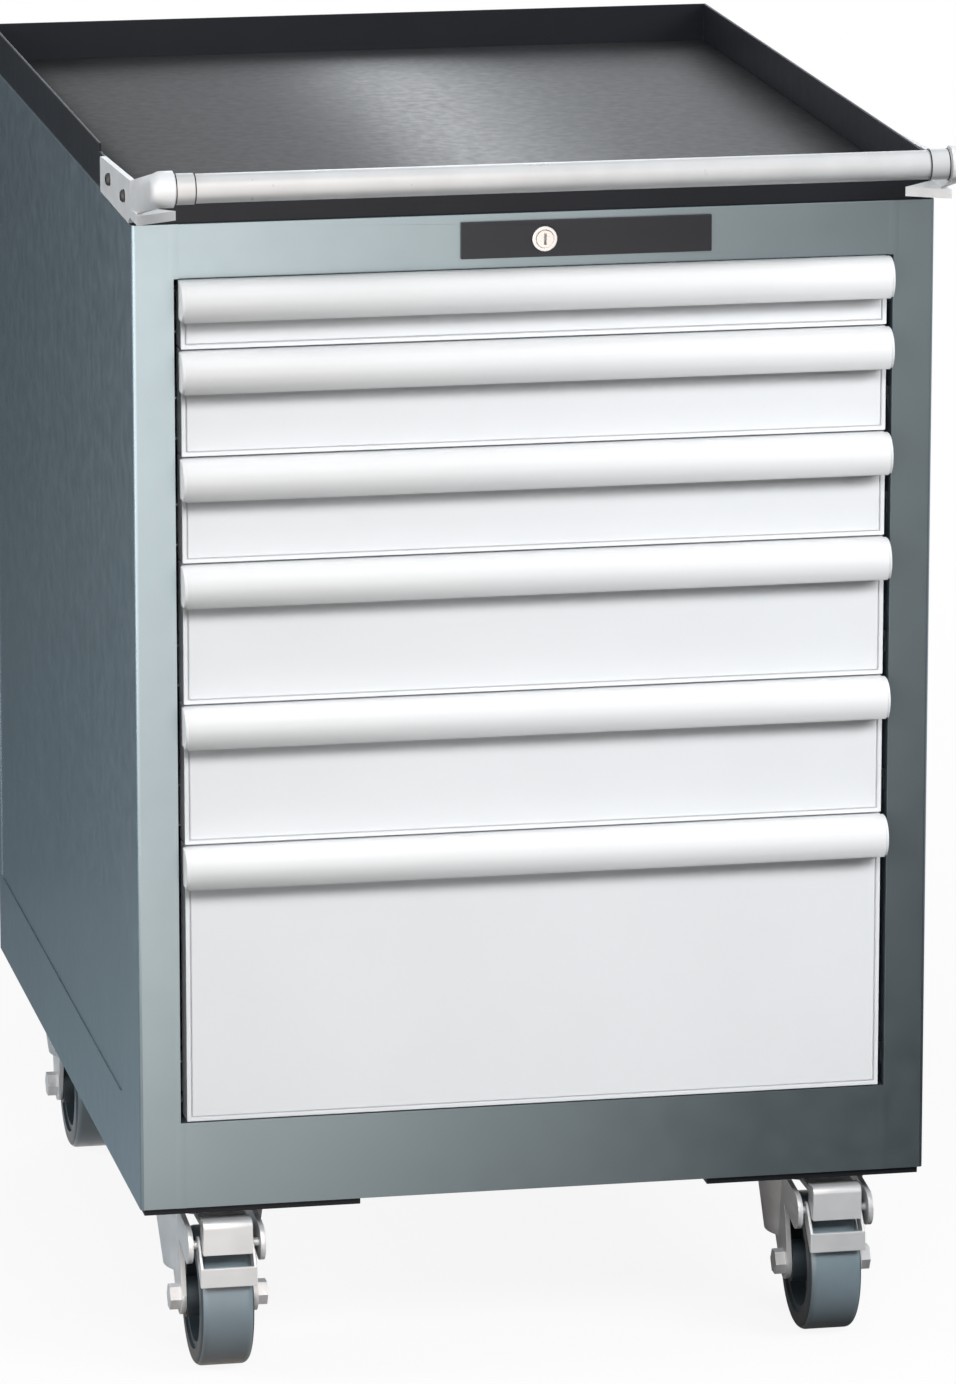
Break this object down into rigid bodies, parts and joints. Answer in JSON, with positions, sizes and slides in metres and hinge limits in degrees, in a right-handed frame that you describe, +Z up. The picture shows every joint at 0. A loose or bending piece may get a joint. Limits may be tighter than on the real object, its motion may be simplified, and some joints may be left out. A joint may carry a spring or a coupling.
{
  "type": "multi-drawer cabinet",
  "caption": "Roller cabinet of folded sheet steel with stacked full-width drawers on roller slides, bullnose handles, central lock, rimmed top with mat, push handle and braked swivel castors.",
  "frame": {"origin": "on the floor, below the middle of the whole box", "axes": "+X to the right seen from the front, +Y to the back, +Z up; drawers open along -Y"},
  "size_m": [0.571, 0.8314, 0.8832],
  "materials": {
    "housing_paint": "satin",
    "drawer_paint": "satin",
    "handle_white": "satin, white coated",
    "black_paint": "satin",
    "mat_rubber": "ribbed, matt",
    "zinc_steel": "zinc plated",
    "lock_metal": "polished",
    "bracket_cast": "painted light grey",
    "screw_steel": "blackened",
    "tube_metal": "satin anodised",
    "wheel_tyre": "matt tread on a dark hub"
  },
  "bodies": {
    "housing": {"side_panel_left": "housing_paint", "side_panel_right": "housing_paint", "back_panel": "housing_paint", "base_panel": "housing_paint", "top_panel": "housing_paint", "front_rails": "housing_paint", "uprights": "zinc_steel", "cabinet_rails": "zinc_steel", "top_tray": "black_paint", "top_mat": "mat_rubber", "lock_strip": "black_paint", "lock_cylinder": "lock_metal", "handle_brackets": "bracket_cast", "bracket_screws": "screw_steel", "push_handle": "tube_metal", "castor_mount_plates": "black_paint", "swivel_plates": "zinc_steel", "rear_forks": "zinc_steel", "castor_fasteners": "zinc_steel"},
    "drawer_1": {"drawer_1_front": "drawer_paint", "drawer_1_box": "drawer_paint", "drawer_1_handle": "handle_white", "drawer_1_runners": "zinc_steel"},
    "carriage_1": {"drawer_1_carriages": "zinc_steel"},
    "drawer_2": {"drawer_2_front": "drawer_paint", "drawer_2_box": "drawer_paint", "drawer_2_handle": "handle_white", "drawer_2_runners": "zinc_steel"},
    "carriage_2": {"drawer_2_carriages": "zinc_steel"},
    "drawer_3": {"drawer_3_front": "drawer_paint", "drawer_3_box": "drawer_paint", "drawer_3_handle": "handle_white", "drawer_3_runners": "zinc_steel"},
    "carriage_3": {"drawer_3_carriages": "zinc_steel"},
    "drawer_4": {"drawer_4_front": "drawer_paint", "drawer_4_box": "drawer_paint", "drawer_4_handle": "handle_white", "drawer_4_runners": "zinc_steel"},
    "carriage_4": {"drawer_4_carriages": "zinc_steel"},
    "drawer_5": {"drawer_5_front": "drawer_paint", "drawer_5_box": "drawer_paint", "drawer_5_handle": "handle_white", "drawer_5_runners": "zinc_steel"},
    "carriage_5": {"drawer_5_carriages": "zinc_steel"},
    "drawer_6": {"drawer_6_front": "drawer_paint", "drawer_6_box": "drawer_paint", "drawer_6_handle": "handle_white", "drawer_6_runners": "zinc_steel"},
    "carriage_6": {"drawer_6_carriages": "zinc_steel"},
    "lock_plug": {"lock_plug": "lock_metal"},
    "lock_slider": {"lock_slider": "zinc_steel"},
    "lock_bar": {"lock_bar": "zinc_steel"},
    "castor_left": {"swivel_fork_left": "zinc_steel"},
    "front_wheel_left": {"front_wheel_left": "wheel_tyre"},
    "brake_pedal_left": {"brake_pedal_left": "zinc_steel"},
    "rear_wheel_left": {"rear_wheel_left": "wheel_tyre"},
    "castor_right": {"swivel_fork_right": "zinc_steel"},
    "front_wheel_right": {"front_wheel_right": "wheel_tyre"},
    "brake_pedal_right": {"brake_pedal_right": "zinc_steel"},
    "rear_wheel_right": {"rear_wheel_right": "wheel_tyre"}
  },
  "joints": [
    {"name": "drawer_1_slide", "type": "slide", "parent": "housing", "child": "drawer_1", "axis": [0, -1, 0], "range_m": [0, 0.6]},
    {"name": "carriage_1_slide", "type": "slide", "parent": "housing", "child": "carriage_1", "axis": [0, -1, 0], "range_m": [0, 0.3]},
    {"name": "drawer_2_slide", "type": "slide", "parent": "housing", "child": "drawer_2", "axis": [0, -1, 0], "range_m": [0, 0.6]},
    {"name": "carriage_2_slide", "type": "slide", "parent": "housing", "child": "carriage_2", "axis": [0, -1, 0], "range_m": [0, 0.3]},
    {"name": "drawer_3_slide", "type": "slide", "parent": "housing", "child": "drawer_3", "axis": [0, -1, 0], "range_m": [0, 0.6]},
    {"name": "carriage_3_slide", "type": "slide", "parent": "housing", "child": "carriage_3", "axis": [0, -1, 0], "range_m": [0, 0.3]},
    {"name": "drawer_4_slide", "type": "slide", "parent": "housing", "child": "drawer_4", "axis": [0, -1, 0], "range_m": [0, 0.6]},
    {"name": "carriage_4_slide", "type": "slide", "parent": "housing", "child": "carriage_4", "axis": [0, -1, 0], "range_m": [0, 0.3]},
    {"name": "drawer_5_slide", "type": "slide", "parent": "housing", "child": "drawer_5", "axis": [0, -1, 0], "range_m": [0, 0.6]},
    {"name": "carriage_5_slide", "type": "slide", "parent": "housing", "child": "carriage_5", "axis": [0, -1, 0], "range_m": [0, 0.3]},
    {"name": "drawer_6_slide", "type": "slide", "parent": "housing", "child": "drawer_6", "axis": [0, -1, 0], "range_m": [0, 0.6]},
    {"name": "carriage_6_slide", "type": "slide", "parent": "housing", "child": "carriage_6", "axis": [0, -1, 0], "range_m": [0, 0.3]},
    {"name": "lock_turn", "type": "hinge", "parent": "housing", "child": "lock_plug", "pos_m": [0.005, -0.3, 0.812], "axis": [0, 1, 0], "range_deg": [0, 90]},
    {"name": "lock_slider_slide", "type": "slide", "parent": "housing", "child": "lock_slider", "axis": [1, 0, 0], "range_m": [0, 0.0093]},
    {"name": "lock_bar_drop", "type": "slide", "parent": "housing", "child": "lock_bar", "axis": [0, 0, -1], "range_m": [0, 0.00919]},
    {"name": "castor_left_swivel", "type": "hinge", "parent": "housing", "child": "castor_left", "pos_m": [-0.22, -0.22425, 0.1], "axis": [0, 0, 1], "continuous": true},
    {"name": "front_wheel_left_spin", "type": "hinge", "parent": "castor_left", "child": "front_wheel_left", "pos_m": [-0.22, -0.25925, 0.05], "axis": [1, 0, 0], "continuous": true},
    {"name": "brake_left_press", "type": "hinge", "parent": "castor_left", "child": "brake_pedal_left", "pos_m": [-0.22, -0.29252, 0.09751], "axis": [1, 0, 0], "range_deg": [0, 5]},
    {"name": "rear_wheel_left_spin", "type": "hinge", "parent": "housing", "child": "rear_wheel_left", "pos_m": [-0.2275, 0.29975, 0.05], "axis": [1, 0, 0], "continuous": true},
    {"name": "castor_right_swivel", "type": "hinge", "parent": "housing", "child": "castor_right", "pos_m": [0.22, -0.22425, 0.1], "axis": [0, 0, 1], "continuous": true},
    {"name": "front_wheel_right_spin", "type": "hinge", "parent": "castor_right", "child": "front_wheel_right", "pos_m": [0.22, -0.25925, 0.05], "axis": [1, 0, 0], "continuous": true},
    {"name": "brake_right_press", "type": "hinge", "parent": "castor_right", "child": "brake_pedal_right", "pos_m": [0.22, -0.29252, 0.09751], "axis": [1, 0, 0], "range_deg": [0, 5]},
    {"name": "rear_wheel_right_spin", "type": "hinge", "parent": "housing", "child": "rear_wheel_right", "pos_m": [0.2275, 0.29975, 0.05], "axis": [1, 0, 0], "continuous": true}
  ],
  "couplings": [
    {"joint": "carriage_1_slide", "follows": "drawer_1_slide", "ratio": 0.5},
    {"joint": "carriage_2_slide", "follows": "drawer_2_slide", "ratio": 0.5},
    {"joint": "carriage_3_slide", "follows": "drawer_3_slide", "ratio": 0.5},
    {"joint": "carriage_4_slide", "follows": "drawer_4_slide", "ratio": 0.5},
    {"joint": "carriage_5_slide", "follows": "drawer_5_slide", "ratio": 0.5},
    {"joint": "carriage_6_slide", "follows": "drawer_6_slide", "ratio": 0.5},
    {"joint": "lock_turn", "follows": "lock_bar_drop", "rad_per_m": 170.89},
    {"joint": "lock_slider_slide", "follows": "lock_bar_drop", "ratio": 1}
  ]
}
